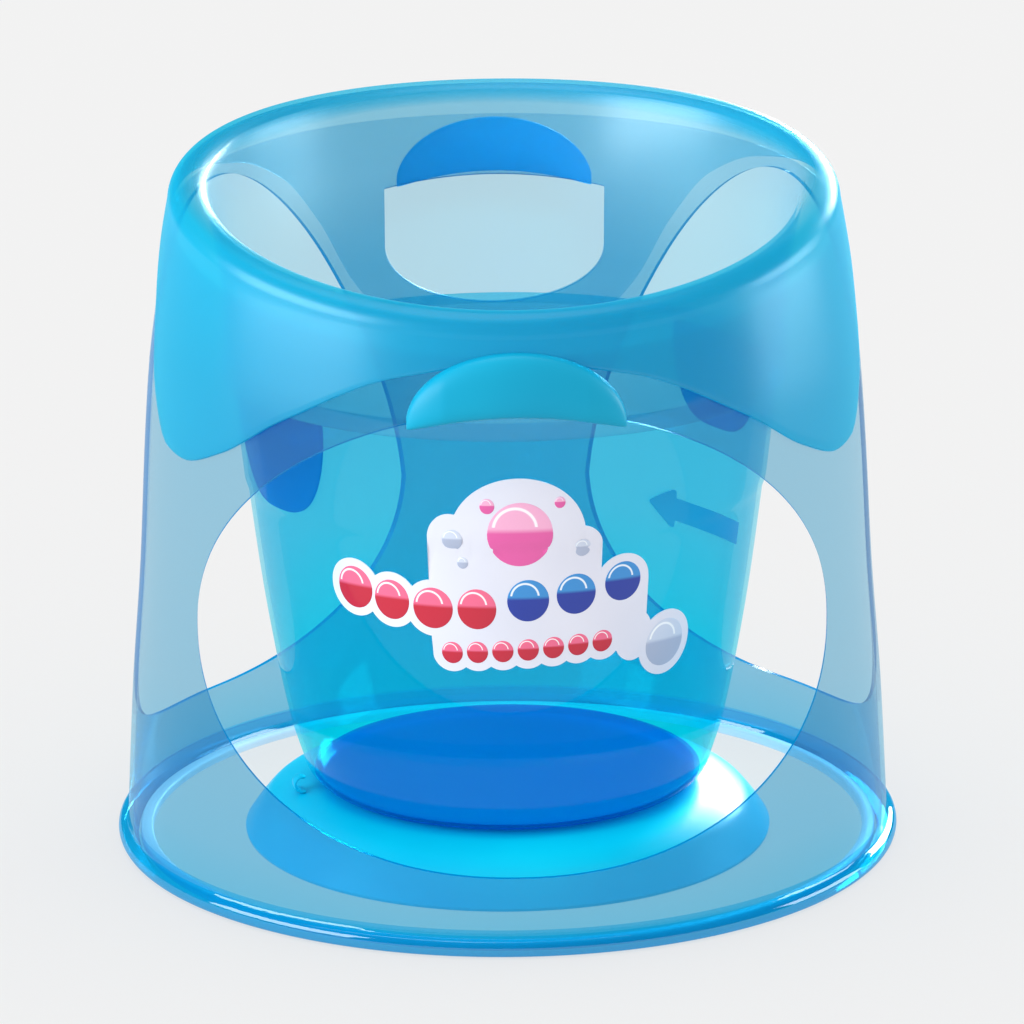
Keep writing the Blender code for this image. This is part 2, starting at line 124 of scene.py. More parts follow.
# The label's outline: azimuth, height, half width and half height of each round lobe.
LABEL_LOBES = ((-36.8, 0.1775, 0.0158, 0.0168), (-27.6, 0.1735, 0.0150, 0.0162),
               (-18.0, 0.1710, 0.0158, 0.0166), (-8.2, 0.1715, 0.0160, 0.0164),
               (-13.5, 0.2120, 0.0122, 0.0150), (0.8, 0.2130, 0.0355, 0.0350),
               (14.2, 0.2060, 0.0120, 0.0130), (3.0, 0.1765, 0.0170, 0.0170),
               (13.6, 0.1790, 0.0165, 0.0166), (24.4, 0.1835, 0.0158, 0.0160)) + tuple(
    (at, height, 0.0112, 0.0112) for at, height, *_ in SMALL_DISCS) + (
    (28.0, 0.1500, 0.0120, 0.0150), (37.0, 0.1420, 0.0182, 0.0192))
LABEL_RADIUS = 0.142
FILM_THICKNESS = 0.0005
LOCK_TAB_THICKNESS = 0.0012
BAND_OUTER_RADIUS = 0.2121
BAND_INNER_RADIUS = 0.2046
BAND_HEIGHT = 0.0044
TONGUE_AZIMUTH = -80
TONGUE_ROOT = 0.1175
TONGUE_HEIGHT = 0.0283
TONGUE_CURL = 0.0048

# Steps of the finer meshes, and where the cutters start and end along their azimuth.
AROUND = 240
TURNED_STEPS = 192
SHARP_DEGREES = 40
SOFT_DEGREES = 60
CUT_FAR = 0.30
HAND_CUT_NEAR = 0.1660


# ---------------------------------------------------------------- materials

BLACK = (0, 0, 0)
WHITE = (1, 1, 1)
PASSING_TINT = (0.97, 0.97, 1.0)
PASSING_SHARE = 0.25
CLEAR_EDGE_MIRROR = 0.38
SHEEN_COLOUR = (0.80, 0.95, 1.0)
SATIN_GLOW = 0.35
SATIN_CLOSING = 0.18
# Where the satin ring turns from clear to milky: outwards, towards the front, and up to its tilted crest.
MILKY_RADII = (0.166, 0.184)
MILKY_DEPTHS = (0.100, 0.010)
MILKY_LEVELS = (RIM_MEAN_HEIGHT - 0.022, RIM_MEAN_HEIGHT - 0.010)
CREST_SLOPE = 0.15


def new_tree(name):
    material = bpy.data.materials.new(name)
    material.use_nodes = True
    tree = material.node_tree
    tree.nodes.clear()
    out = tree.nodes.new("ShaderNodeOutputMaterial")
    return material, tree, out


def node(tree, kind, **settings):
    """New node; each setting is one of its properties or the value of the input of that name."""
    made = tree.nodes.new(kind)
    for key, value in settings.items():
        if hasattr(made, key):
            setattr(made, key, value)
        else:
            made.inputs[key.replace("_", " ")].default_value = value
    return made


def math_node(tree, operation, a, b):
    made = tree.nodes.new("ShaderNodeMath")
    made.operation = operation
    for slot, value in ((0, a), (1, b)):
        if isinstance(value, (int, float)):
            made.inputs[slot].default_value = value
        else:
            tree.links.new(value, made.inputs[slot])
    return made.outputs[0]


def mix_shaders(tree, amount, first, second):
    made = tree.nodes.new("ShaderNodeMixShader")
    if isinstance(amount, (int, float)):
        made.inputs[0].default_value = amount
    else:
        tree.links.new(amount, made.inputs[0])
    tree.links.new(first, made.inputs[1])
    tree.links.new(second, made.inputs[2])
    return made.outputs[0]


def facing_power(tree, power):
    """0 where the surface is seen straight on and 1 at its outline; the same on both faces."""
    facing = node(tree, "ShaderNodeLayerWeight", Blend=0.5).outputs["Facing"]
    return math_node(tree, "POWER", facing, power)


def mirror_share(tree, at_normal, at_edge, power):
    """Share of light that the surface mirrors."""
    steep = facing_power(tree, power)
    return math_node(tree, "ADD", math_node(tree, "MULTIPLY", steep, at_edge - at_normal), at_normal)


def noise_bump(tree, scale, strength, distance, detail=0.0):
    """Bump from a noise in the piece's own coordinates."""
    where = tree.nodes.new("ShaderNodeTexCoord")
    noise = node(tree, "ShaderNodeTexNoise", Scale=scale, Detail=detail)
    bump = node(tree, "ShaderNodeBump", Strength=strength, Distance=distance)
    tree.links.new(where.outputs["Object"], noise.inputs["Vector"])
    tree.links.new(noise.outputs["Fac"], bump.inputs["Height"])
    return bump.outputs["Normal"], noise.outputs["Fac"], where


def ramp(tree, source, stops):
    """Colour ramp through (place, colour) stops."""
    made = tree.nodes.new("ShaderNodeValToRGB")
    made.color_ramp.elements[0].position = stops[0][0]
    made.color_ramp.elements[0].color = (*stops[0][1], 1)
    made.color_ramp.elements[1].position = stops[-1][0]
    made.color_ramp.elements[1].color = (*stops[-1][1], 1)
    for stop, colour in stops[1:-1]:
        made.color_ramp.elements.new(stop).color = (*colour, 1)
    tree.links.new(source, made.inputs["Fac"])
    return made.outputs["Color"]


def between(tree, value, start, end):
    """0 where the value is at its start and 1 where it reaches its end."""
    span = node(tree, "ShaderNodeMapRange")
    span.inputs["From Min"].default_value = start
    span.inputs["From Max"].default_value = end
    tree.links.new(value, span.inputs["Value"])
    return span.outputs["Result"]


def coordinates(tree, where):
    """Sockets for X, Y and Z in the piece's own coordinates."""
    parts = tree.nodes.new("ShaderNodeSeparateXYZ")
    tree.links.new(where.outputs["Object"], parts.inputs[0])
    return parts.outputs


def slow_shade(tree, where, scale, detail, low, deep, colour):
    """Slow change between two colours over the piece."""
    broad = node(tree, "ShaderNodeTexNoise", Scale=scale, Detail=detail)
    tree.links.new(where.outputs["Object"], broad.inputs["Vector"])
    return ramp(tree, broad.outputs["Fac"], ((low, deep), (1 - low, colour)))


def plain_shader(tree, kind, colour, normal=None):
    """Shader node with a linked or a plain colour, and with the bumped normal if there is one."""
    made = tree.nodes.new(kind)
    if isinstance(colour, tuple):
        made.inputs["Color"].default_value = (*colour, 1)
    else:
        tree.links.new(colour, made.inputs["Color"])
    if normal is not None:
        tree.links.new(normal, made.inputs["Normal"])
    return made


def lamp_tint(tree, colour):
    """The tint for what is seen, and a slightly paler one for light that passes on to other surfaces."""
    path = tree.nodes.new("ShaderNodeLightPath")
    passing = math_node(tree, "MAXIMUM", path.outputs["Is Shadow Ray"], path.outputs["Is Diffuse Ray"])
    mix = tree.nodes.new("ShaderNodeMix")
    mix.data_type = "RGBA"
    tree.links.new(math_node(tree, "MULTIPLY", passing, PASSING_SHARE), mix.inputs["Factor"])
    tree.links.new(colour, mix.inputs["A"])
    mix.inputs["B"].default_value = (*PASSING_TINT, 1)
    return mix.outputs["Result"]


def clear_plastic(name, heights, stops, veil_colour, veil, gloss_roughness, mirror, wave=0.0006):
    """Clear tinted plastic: a tint by height, a thin milky veil and a mirror that grows at grazing."""
    material, tree, out = new_tree(name)
    normal, blotch, where = noise_bump(tree, scale=9.0, strength=0.25, distance=wave)
    tint = ramp(tree, between(tree, coordinates(tree, where)["Z"], *heights), stops)
    vary = node(tree, "ShaderNodeHueSaturation")
    tree.links.new(tint, vary.inputs["Color"])
    vary_by = node(tree, "ShaderNodeMapRange")
    vary_by.inputs["To Min"].default_value = 0.97
    vary_by.inputs["To Max"].default_value = 1.03
    tree.links.new(blotch, vary_by.inputs["Value"])
    tree.links.new(vary_by.outputs["Result"], vary.inputs["Saturation"])
    through = plain_shader(tree, "ShaderNodeBsdfTransparent", lamp_tint(tree, vary.outputs["Color"]))
    haze = plain_shader(tree, "ShaderNodeBsdfDiffuse", veil_colour, normal)
    gloss = plain_shader(tree, "ShaderNodeBsdfAnisotropic", WHITE, normal)
    gloss.inputs["Roughness"].default_value = gloss_roughness
    body = mix_shaders(tree, veil, through.outputs[0], haze.outputs[0])
    share = mirror_share(tree, at_normal=mirror, at_edge=CLEAR_EDGE_MIRROR, power=5.0)
    tree.links.new(mix_shaders(tree, share, body, gloss.outputs[0]), out.inputs["Surface"])
    return material


def milky_share(tree, where):
    """1 on the roll and on the front and sides of the skirt, 0 on the funnel and at the back."""
    flat = node(tree, "ShaderNodeVectorMath", operation="MULTIPLY")
    flat.inputs[1].default_value = (1, 1, 0)
    tree.links.new(where.outputs["Object"], flat.inputs[0])
    radius = node(tree, "ShaderNodeVectorMath", operation="LENGTH")
    tree.links.new(flat.outputs[0], radius.inputs[0])
    at = coordinates(tree, where)
    outside = between(tree, radius.outputs["Value"], *MILKY_RADII)
    frontal = between(tree, at["Y"], *MILKY_DEPTHS)
    level = math_node(tree, "SUBTRACT", at["Z"], math_node(tree, "MULTIPLY", at["Y"], CREST_SLOPE))
    on_roll = between(tree, level, *MILKY_LEVELS)
    return math_node(tree, "MULTIPLY", outside, math_node(tree, "MAXIMUM", frontal, on_roll))


def satin_plastic(name, tints, colour, deep, veils, roughness):
    """Satin translucent plastic; tints and veils are the clear and the milky one."""
    material, tree, out = new_tree(name)
    normal, _, where = noise_bump(tree, scale=900.0, strength=0.03, distance=0.00006)
    shade = slow_shade(tree, where, scale=5.0, detail=0.0, low=0.30, deep=deep, colour=colour)
    milky = milky_share(tree, where)
    milk = plain_shader(tree, "ShaderNodeBsdfDiffuse", shade)
    glow = plain_shader(tree, "ShaderNodeBsdfTranslucent", shade)
    tint = ramp(tree, milky, ((0.0, tints[0]), (1.0, tints[1])))
    through = plain_shader(tree, "ShaderNodeBsdfTransparent", lamp_tint(tree, tint))
    solid = mix_shaders(tree, SATIN_GLOW, milk.outputs[0], glow.outputs[0])
    closing = math_node(tree, "MULTIPLY", facing_power(tree, 2.5), SATIN_CLOSING)
    veil = math_node(tree, "ADD", math_node(tree, "MULTIPLY", milky, veils[1] - veils[0]), veils[0])
    body = mix_shaders(tree, math_node(tree, "ADD", closing, veil), through.outputs[0], solid)
    sheen = plain_shader(tree, "ShaderNodeBsdfAnisotropic", SHEEN_COLOUR, normal)
    sheen.inputs["Roughness"].default_value = roughness
    share = mirror_share(tree, at_normal=0.045, at_edge=0.20, power=4.0)
    tree.links.new(mix_shaders(tree, share, body, sheen.outputs[0]), out.inputs["Surface"])
    return material


def solid_plastic(name, colour, deep, roughness, coat, coat_roughness=0.1, grain=700.0, glow=0.0):
    """Opaque moulded plastic or vinyl, with a fine grain and a slow change of colour."""
    material, tree, out = new_tree(name)
    normal, blotch, where = noise_bump(tree, scale=grain, strength=0.10, distance=0.0001, detail=3.0)
    shade = slow_shade(tree, where, scale=14.0, detail=2.0, low=0.32, deep=deep, colour=colour)
    body = node(tree, "ShaderNodeBsdfPrincipled")
    body.inputs["Specular IOR Level"].default_value = 0.2
    body.inputs["Coat Weight"].default_value = coat
    body.inputs["Coat Roughness"].default_value = coat_roughness
    spread = node(tree, "ShaderNodeMapRange")
    spread.inputs["To Min"].default_value = roughness * 0.85
    spread.inputs["To Max"].default_value = roughness * 1.15
    tree.links.new(blotch, spread.inputs["Value"])
    tree.links.new(spread.outputs["Result"], body.inputs["Roughness"])
    tree.links.new(shade, body.inputs["Base Color"])
    tree.links.new(normal, body.inputs["Normal"])
    surface = body.outputs[0]
    if glow:
        lit = plain_shader(tree, "ShaderNodeBsdfTranslucent", shade)
        surface = mix_shaders(tree, glow, surface, lit.outputs[0])
    tree.links.new(surface, out.inputs["Surface"])
    return material


def print_ink(name, dark, light):
    """Printed bubble: darker below, lighter above, with a white crescent, drawn in the mesh's own UVs."""
    material, tree, out = new_tree(name)
    where = tree.nodes.new("ShaderNodeUVMap")
    where.uv_map = "print"
    parts = tree.nodes.new("ShaderNodeSeparateXYZ")
    tree.links.new(where.outputs[0], parts.inputs[0])
    fade = ramp(tree, parts.outputs["Y"], ((0.10, dark), (0.52, dark), (0.60, light), (0.95, light)))
    offset = node(tree, "ShaderNodeVectorMath", operation="DISTANCE")
    offset.inputs[1].default_value = (0.42, 0.58, 0.0)
    tree.links.new(where.outputs[0], offset.inputs[0])
    crescent = ramp(tree, offset.outputs["Value"], ((0.0, BLACK), (0.30, BLACK), (0.315, WHITE),
                                                   (0.345, WHITE), (0.36, BLACK)))
    upper = math_node(tree, "GREATER_THAN", parts.outputs["Y"], 0.62)
    amount = math_node(tree, "MULTIPLY", math_node(tree, "MULTIPLY", crescent, upper), 0.85)
    mix = tree.nodes.new("ShaderNodeMix")
    mix.data_type = "RGBA"
    tree.links.new(amount, mix.inputs["Factor"])
    tree.links.new(fade, mix.inputs["A"])
    mix.inputs["B"].default_value = (*WHITE, 1)
    body = node(tree, "ShaderNodeBsdfPrincipled", Roughness=0.28)
    body.inputs["Coat Weight"].default_value = 0.4
    tree.links.new(mix.outputs["Result"], body.inputs["Base Color"])
    tree.links.new(body.outputs[0], out.inputs["Surface"])
    return material


# Wall tint by height: the deeper tint low on the wall is painted shade for the shaded floor seen through it;
# the tint is paler towards the top.
WALL_STOPS_WITH_PAINTED_SHADE = ((0.0, (0.42, 0.77, 0.90)), (0.10, (0.52, 0.78, 0.89)), (0.30, (0.59, 0.78, 0.87)),
              (0.72, (0.60, 0.79, 0.88)), (0.86, (0.80, 0.90, 0.95)), (1.0, (0.82, 0.92, 0.96)))
EDGE_STOPS = ((0.0, (0.0, 0.24, 0.54)), (1.0, (0.0, 0.24, 0.54)))
FOOT_STOPS = ((0.0, (0.04, 0.58, 0.82)), (1.0, (0.14, 0.66, 0.86)))
BUCKET_STOPS = ((0.0, (0.06, 0.95, 0.97)), (0.20, (0.20, 0.92, 0.97)), (0.50, (0.50, 0.88, 0.95)),
                (1.0, (0.52, 0.88, 0.96)))
BASE_STOPS = ((0.0, (0.02, 0.44, 0.90)), (1.0, (0.04, 0.50, 0.92)))
TAB_STOPS = ((0.0, (0.04, 0.62, 0.90)), (1.0, (0.04, 0.62, 0.90)))

WALL_CLEAR = clear_plastic("clear blue wall", (0.0, 0.40), WALL_STOPS_WITH_PAINTED_SHADE, veil_colour=(0.05, 0.45, 0.68),
                           veil=0.04, gloss_roughness=0.04, mirror=0.022)
WALL_EDGE = clear_plastic("clear blue cut edge", (0.0, 0.40), EDGE_STOPS, veil_colour=(0.0, 0.24, 0.50),
                          veil=0.70, gloss_roughness=0.10, mirror=0.01)
FOOT_CLEAR = clear_plastic("clear blue foot", (0.0, 0.012), FOOT_STOPS, veil_colour=(0.0, 0.46, 0.76),
                           veil=0.22, gloss_roughness=0.03, mirror=0.07)
BUCKET_CLEAR = clear_plastic("clear blue bucket", (0.03, 0.28), BUCKET_STOPS, veil_colour=(0.0, 0.56, 0.74),
                             veil=0.07, gloss_roughness=0.03, mirror=0.014)
BUCKET_BASE = clear_plastic("deep blue bucket floor", (0.03, 0.28), BASE_STOPS, veil_colour=(0.0, 0.17, 0.62),
                            veil=0.55, gloss_roughness=0.05, mirror=0.012, wave=0.0001)
SATIN = satin_plastic("satin blue rim", tints=((0.78, 0.91, 0.95), (0.16, 0.70, 0.86)),
                      colour=(0.0, 0.58, 0.75), deep=(0.0, 0.51, 0.72), veils=(0.05, 0.40), roughness=0.30)
CUP = solid_plastic("cyan vinyl cup", (0.0, 0.60, 0.80), (0.0, 0.55, 0.77), roughness=0.34,
                    coat=0.08, grain=260.0, glow=0.12)
GRIP = solid_plastic("cyan grip", (0.0, 0.33, 0.52), (0.0, 0.30, 0.49), roughness=0.42,
                     coat=0.05, coat_roughness=0.20)
# Same plastic as the front grip, painted about twice as bright: painted light for the back grip's shaded
# inner side.
GRIP_BACK_PAINTED_BRIGHT = solid_plastic("back grip painted brighter", (0.0, 0.66, 0.95), (0.0, 0.62, 0.92), roughness=0.42,
                          coat=0.0, coat_roughness=0.15, glow=0.62)
TAB = clear_plastic("deep blue lock tab", (0.20, 0.27), TAB_STOPS, veil_colour=(0.0, 0.30, 0.66),
                    veil=0.20, gloss_roughness=0.08, mirror=0.02)
ARROW = solid_plastic("blue arrow film", (0.0, 0.36, 0.66), (0.0, 0.32, 0.62), roughness=0.35, coat=0.1)
LABEL = solid_plastic("label film", (0.80, 0.78, 0.86), (0.74, 0.73, 0.82), roughness=0.30,
                      coat=0.5, coat_roughness=0.08, grain=500.0)
LABEL_RED = print_ink("label red bubbles", (0.55, 0.004, 0.03), (0.86, 0.13, 0.25))
LABEL_BLUE = print_ink("label blue bubbles", (0.004, 0.03, 0.32), (0.03, 0.26, 0.62))
LABEL_PINK = print_ink("label pink bubbles", (0.78, 0.10, 0.36), (0.93, 0.42, 0.62))
LABEL_GREY = print_ink("label grey bubbles", (0.42, 0.46, 0.60), (0.62, 0.66, 0.78))
RUBBER = solid_plastic("pale foot ring", (0.78, 0.80, 0.86), (0.70, 0.73, 0.80), roughness=0.45,
                       coat=0.1, coat_roughness=0.2, grain=900.0)


# ---------------------------------------------------------------- shapes

def curve_value(points, x):
    """Value of a smooth curve through (x, value) points, by cubic Hermite spans."""
    xs = [p[0] for p in points]
    ys = [p[1] for p in points]
    if x <= xs[0]:
        return ys[0]
    if x >= xs[-1]:
        return ys[-1]
    i = max(k for k in range(len(xs) - 1) if xs[k] <= x)
    slopes = [(ys[k + 1] - ys[k]) / (xs[k + 1] - xs[k]) for k in range(len(xs) - 1)]

    def tangent(k):
        if k == 0:
            return slopes[0]
        if k == len(xs) - 1:
            return slopes[-1]
        if slopes[k - 1] * slopes[k] <= 0:
            return 0.0
        return 2 * slopes[k - 1] * slopes[k] / (slopes[k - 1] + slopes[k])

    span = xs[i + 1] - xs[i]
    t = (x - xs[i]) / span
    a = ys[i] * (1 + 2 * t) * (1 - t) ** 2 + ys[i + 1] * t * t * (3 - 2 * t)
    b = tangent(i) * span * t * (1 - t) ** 2 - tangent(i + 1) * span * t * t * (1 - t)
    return a + b


def wall_radius(height):
    return curve_value(WALL_PROFILE, height)


def skirt_radius(height):
    return wall_radius(height) + FIT_GAP + RING_THICKNESS


def crest_height(azimuth):
    angle = math.radians(azimuth)
    return RIM_MEAN_HEIGHT - RIM_TILT * math.cos(angle) - RIM_SADDLE * math.cos(2 * angle)


def skirt_edge(azimuth):
    around = abs((azimuth + 180) % 360 - 180)
    mirrored = [(-a, h) for a, h in SKIRT_EDGE[1:2]] + list(SKIRT_EDGE)
    return curve_value(mirrored, around)


def at_azimuth(azimuth, radius, height):
    angle = math.radians(azimuth)
    return (radius * math.sin(angle), -radius * math.cos(angle), height)


def finish_mesh(name, shape, materials, sharp=SHARP_DEGREES):
    mesh = bpy.data.meshes.new(name)
    shape.to_mesh(mesh)
    shape.free()
    mesh.shade_smooth()
    mesh.set_sharp_from_angle(angle=math.radians(sharp))
    for material in materials:
        mesh.materials.append(material)
    piece = bpy.data.objects.new(name, mesh)
    bpy.context.scene.collection.objects.link(piece)
    return piece


def loft(name, loops, materials, closed_row=True, sharp=SHARP_DEGREES):
    """Skin between loops of equal length; the row of loops closes on itself or is capped."""
    shape = bmesh.new()
    rows = [[shape.verts.new(point) for point in loop] for loop in loops]
    count = len(rows[0])
    pairs = list(zip(rows, rows[1:]))
    if closed_row:
        pairs.append((rows[-1], rows[0]))
    for first, second in pairs:
        for k in range(count):
            n = (k + 1) % count
            shape.faces.new((first[k], first[n], second[n], second[k]))
    if not closed_row:
        shape.faces.new(rows[0])
        shape.faces.new(rows[-1])
    bmesh.ops.recalc_face_normals(shape, faces=shape.faces)
    return finish_mesh(name, shape, materials, sharp)


def turned(name, profile, materials, steps=TURNED_STEPS):
    """Closed profile of (radius, height) points turned about Z; points on the axis become poles."""
    on_axis = 1e-6
    shape = bmesh.new()
    rings = []
    for r, z in profile:
        if r < on_axis:
            rings.append([shape.verts.new((0, 0, z))])
        else:
            rings.append([shape.verts.new(at_azimuth(360 * k / steps, r, z)) for k in range(steps)])
    pairs = list(zip(rings, rings[1:]))
    if profile[0][0] >= on_axis:
        pairs.append((rings[-1], rings[0]))
    for low, high in pairs:
        for k in range(steps):
            n = (k + 1) % steps
            corners = [low[k % len(low)], low[n % len(low)], high[n % len(high)], high[k % len(high)]]
            unique = list(dict.fromkeys(corners))
            if len(unique) > 2:
                shape.faces.new(unique)
    bmesh.ops.recalc_face_normals(shape, faces=shape.faces)
    return finish_mesh(name, shape, materials)


def prism(name, outline, azimuth, near, far=CUT_FAR):
    """Closed prism through the wall: an outline of (sideways, height) points pushed outwards."""
    angle = math.radians(azimuth)
    side = (math.cos(angle), math.sin(angle))
    out = (math.sin(angle), -math.cos(angle))
    loops = []
    for depth in (near, far):
        loops.append([(s * side[0] + depth * out[0], s * side[1] + depth * out[1], z) for s, z in outline])
    return loft(name, loops, [], closed_row=False)


def window_outline(window, mirrored=False):
    """Outline of (sideways, height) points: half an ellipse above, squarer below, leaning if asked to."""
    steps = 180
    points = []
    for k in range(steps):
        turn = 2 * math.pi * k / steps
        c = math.cos(turn)
        s = math.sin(turn)
        power = 2.0
        if s < 0:
            power = window["right_square"] if c > 0 else window["left_square"]
        x = math.copysign(abs(c) ** (2 / power), c) * window["half_width"]
        z = math.copysign(abs(s) ** (2 / power), s)
        z *= window["rise"] if s > 0 else window["drop"]
        if s > 0:
            x += window["lean"] * z
        points.append((-x if mirrored else x, window["centre"] + z))
    return points


def hand_hole_outline():
    """Round below its shoulders and arched above, under the back grip."""
    below = 60
    above = 24
    half = HAND_HOLE_HALF_WIDTH
    depth = HAND_HOLE_SHOULDER - HAND_HOLE_BOTTOM
    points = [(-half, HAND_HOLE_SHOULDER)]
    for k in range(1, below):
        turn = math.pi + math.pi * k / below
        points.append((half * math.cos(turn), HAND_HOLE_SHOULDER + depth * math.sin(turn)))
    points.append((half, HAND_HOLE_SHOULDER))
    for k in range(above + 1):
        x = half * (1 - 2 * k / above)
        points.append((x, HAND_HOLE_TOP - GRIP_ARCH * (x / half) ** 2))
    return points


def cut_clean(piece, cutters):
    """Cuts openings, gives the skin the uncut skin's normals and the cut edges the last material."""
    skin_distance = 0.0004
    skin_facing = 0.85
    same_side = 0.8
    least_facing = 0.5
    source = piece.data
    corners = [Vector(n.vector) for n in source.corner_normals]
    places = [v.co.copy() for v in source.vertices]
    polygons = [tuple(p.vertices) for p in source.polygons]
    starts = [p.loop_start for p in source.polygons]
    slots = [p.material_index for p in source.polygons]
    tree = BVHTree.FromPolygons(places, polygons)
    for cutter in cutters:
        operation = piece.modifiers.new("Cut", "BOOLEAN")
        operation.operation = "DIFFERENCE"
        operation.object = cutter
        operation.solver = "EXACT"
    graph = bpy.context.evaluated_depsgraph_get()
    made = bpy.data.meshes.new_from_object(piece.evaluated_get(graph))
    piece.modifiers.clear()
    made.materials.clear()
    for material in source.materials:
        made.materials.append(material)
    piece.data = made
    normals = [None] * len(made.loops)
    for polygon in made.polygons:
        centre, normal, index, distance = tree.find_nearest(polygon.center)
        skin = distance < skin_distance and normal.dot(polygon.normal) > skin_facing
        polygon.material_index = slots[index] if skin else len(made.materials) - 1
        polygon.use_smooth = True
        for corner in polygon.loop_indices:
            if not skin:
                normals[corner] = polygon.normal.copy()
                continue
            point = made.vertices[made.loops[corner].vertex_index].co
            near, facing, at, _ = tree.find_nearest(point)
            if facing.dot(polygon.normal) < same_side:
                at = index
                near = centre
            weights = poly_3d_calc([places[v] for v in polygons[at]], near)
            total = Vector((0, 0, 0))
            for k, weight in enumerate(weights):
                total += corners[starts[at] + k] * weight
            if total.dot(polygon.normal) < least_facing:
                total = polygon.normal.copy()
            normals[corner] = total.normalized()
    made.normals_split_custom_set(normals)
    for cutter in cutters:
        bpy.data.objects.remove(cutter)
    return piece


def offset_path(path, distance):
    """Points beside an open path, on its right-hand side as it runs."""
    points = []
    last = len(path) - 1
    for k, (r, z) in enumerate(path):
        before = path[max(k - 1, 0)]
        after = path[min(k + 1, last)]
        dr = after[0] - before[0]
        dz = after[1] - before[1]
        length = math.hypot(dr, dz)
        points.append((r - distance * dz / length, z + distance * dr / length))
    return points


def rounded_strip(path, thickness):
    """Closed section: a path, its offset and a half-round end at each side."""
    steps = 5
    inside = offset_path(path, thickness)

    def end_arc(a, b, along):
        middle = ((a[0] + b[0]) / 2, (a[1] + b[1]) / 2)
        half = thickness / 2
        across = ((b[0] - a[0]) / thickness, (b[1] - a[1]) / thickness)
        points = []
        for k in range(1, steps):
            turn = math.pi * k / steps
            c = -math.cos(turn)
            s = math.sin(turn)
            points.append((middle[0] + half * (c * across[0] + s * along[0]),
                           middle[1] + half * (c * across[1] + s * along[1])))
        return points

    def direction(a, b):
        length = math.hypot(b[0] - a[0], b[1] - a[1])
        return ((b[0] - a[0]) / length, (b[1] - a[1]) / length)

    far = end_arc(path[-1], inside[-1], direction(path[-2], path[-1]))
    near = end_arc(inside[0], path[0], direction(path[1], path[0]))
    return path + far + inside[::-1] + near


# ---------------------------------------------------------------- stand

def foot_section():
    """Rounded foot, from its underside out, round its bead and up into the wall."""
    points = [(FOOT_WALL_RADIUS - FOOT_REACH_IN, 0.0), (FOOT_WALL_RADIUS + 0.0010, 0.0)]
    half = FOOT_HEIGHT / 2
    steps = 12
    for k in range(steps + 1):
        turn = math.radians(-90 + 180 * k / steps)
        out = FOOT_RADIUS - FOOT_ROUNDING + FOOT_ROUNDING * abs(math.cos(turn)) ** 0.8
        points.append((out, half + half * math.sin(turn)))
    points.append((FOOT_WALL_RADIUS + 0.0007, FOOT_HEIGHT + 0.0003))
    points.append((FOOT_WALL_RADIUS + 0.0001, FOOT_HEIGHT + 0.0016))
    return points


def make_wall():
    """Stand wall with its foot, cut by the front window, the two side windows and the hand hole."""
    foot = foot_section()
    loops = []
    start = FOOT_HEIGHT + 0.0040
    rows = 26
    for j in range(AROUND):
        azimuth = 360 * j / AROUND
        top = crest_height(azimuth) - WALL_TOP_BELOW_CREST - WALL_THICKNESS / 2
        heights = [start + (top - start) * k / rows for k in range(rows + 1)]
        outer = [(wall_radius(z), z) for z in heights]
        strip = rounded_strip(outer, WALL_THICKNESS)
        arcs = len(strip) - 2 * (rows + 1)
        skin = strip[:len(strip) - arcs // 2]
        inner_foot = [(FOOT_WALL_RADIUS - WALL_THICKNESS - 0.0004, FOOT_HEIGHT * 0.6),
                      (FOOT_WALL_RADIUS - WALL_THICKNESS - 0.0014, 0.0022)]
        loops.append([at_azimuth(azimuth, r, z) for r, z in foot + skin + inner_foot])
    piece = loft("stand_wall", loops, [WALL_CLEAR, FOOT_CLEAR, WALL_EDGE])
    for polygon in piece.data.polygons:
        if polygon.center.z < FOOT_HEIGHT + 0.0010:
            polygon.material_index = 1
    cutters = [prism("front_cut", window_outline(FRONT_WINDOW), 0, near=0.05)]
    for sign in (1, -1):
        outline = window_outline(SIDE_WINDOW, mirrored=sign < 0)
        cutters.append(prism(f"side_cut{sign}", outline, sign * SIDE_WINDOW["azimuth"], near=0.08))
    cutters.append(prism("hand_cut", hand_hole_outline(), 180, HAND_CUT_NEAR))
    return cut_clean(piece, cutters)


def make_rim():
    """Satin ring: skirt outside the wall, roll over its top and funnel down to the collar."""
    loops = []
    skirt_rows = 18
    roll_rows = 20
    funnel_rows = 18
    least_skirt = 0.0040
    for j in range(AROUND):
        azimuth = 360 * j / AROUND
        crest = crest_height(azimuth)
        shoulder = crest - ROLL_RADIUS
        edge = min(skirt_edge(azimuth), shoulder - least_skirt) + RING_THICKNESS / 2
        path = []
        for k in range(skirt_rows + 1):
            z = edge + (shoulder - edge) * k / skirt_rows
            path.append((skirt_radius(z), z))
        rim = skirt_radius(shoulder)
        for k in range(1, roll_rows + 1):
            turn = math.radians(ROLL_TURN / roll_rows * k)
            path.append((rim - ROLL_RADIUS * (1 - math.cos(turn)), shoulder + ROLL_RADIUS * math.sin(turn)))
        mouth_radius, mouth_height = path[-1]
        bottom = COLLAR_HEIGHT + RING_THICKNESS / 2
        for k in range(1, funnel_rows + 1):
            t = k / funnel_rows
            bow = FUNNEL_LEAN * math.sin(math.pi * t)
            radius = mouth_radius + (COLLAR_RADIUS - mouth_radius) * t - bow
            path.append((radius, mouth_height + (bottom - mouth_height) * t))
        section = rounded_strip(path, RING_THICKNESS)
        loops.append([at_azimuth(azimuth, r, z) for r, z in section])
    piece = loft("rim", loops, [SATIN, SATIN])
    return cut_clean(piece, [prism("rim_hand_cut", hand_hole_outline(), 180, HAND_CUT_NEAR)])


# ---------------------------------------------------------------- bucket and cup

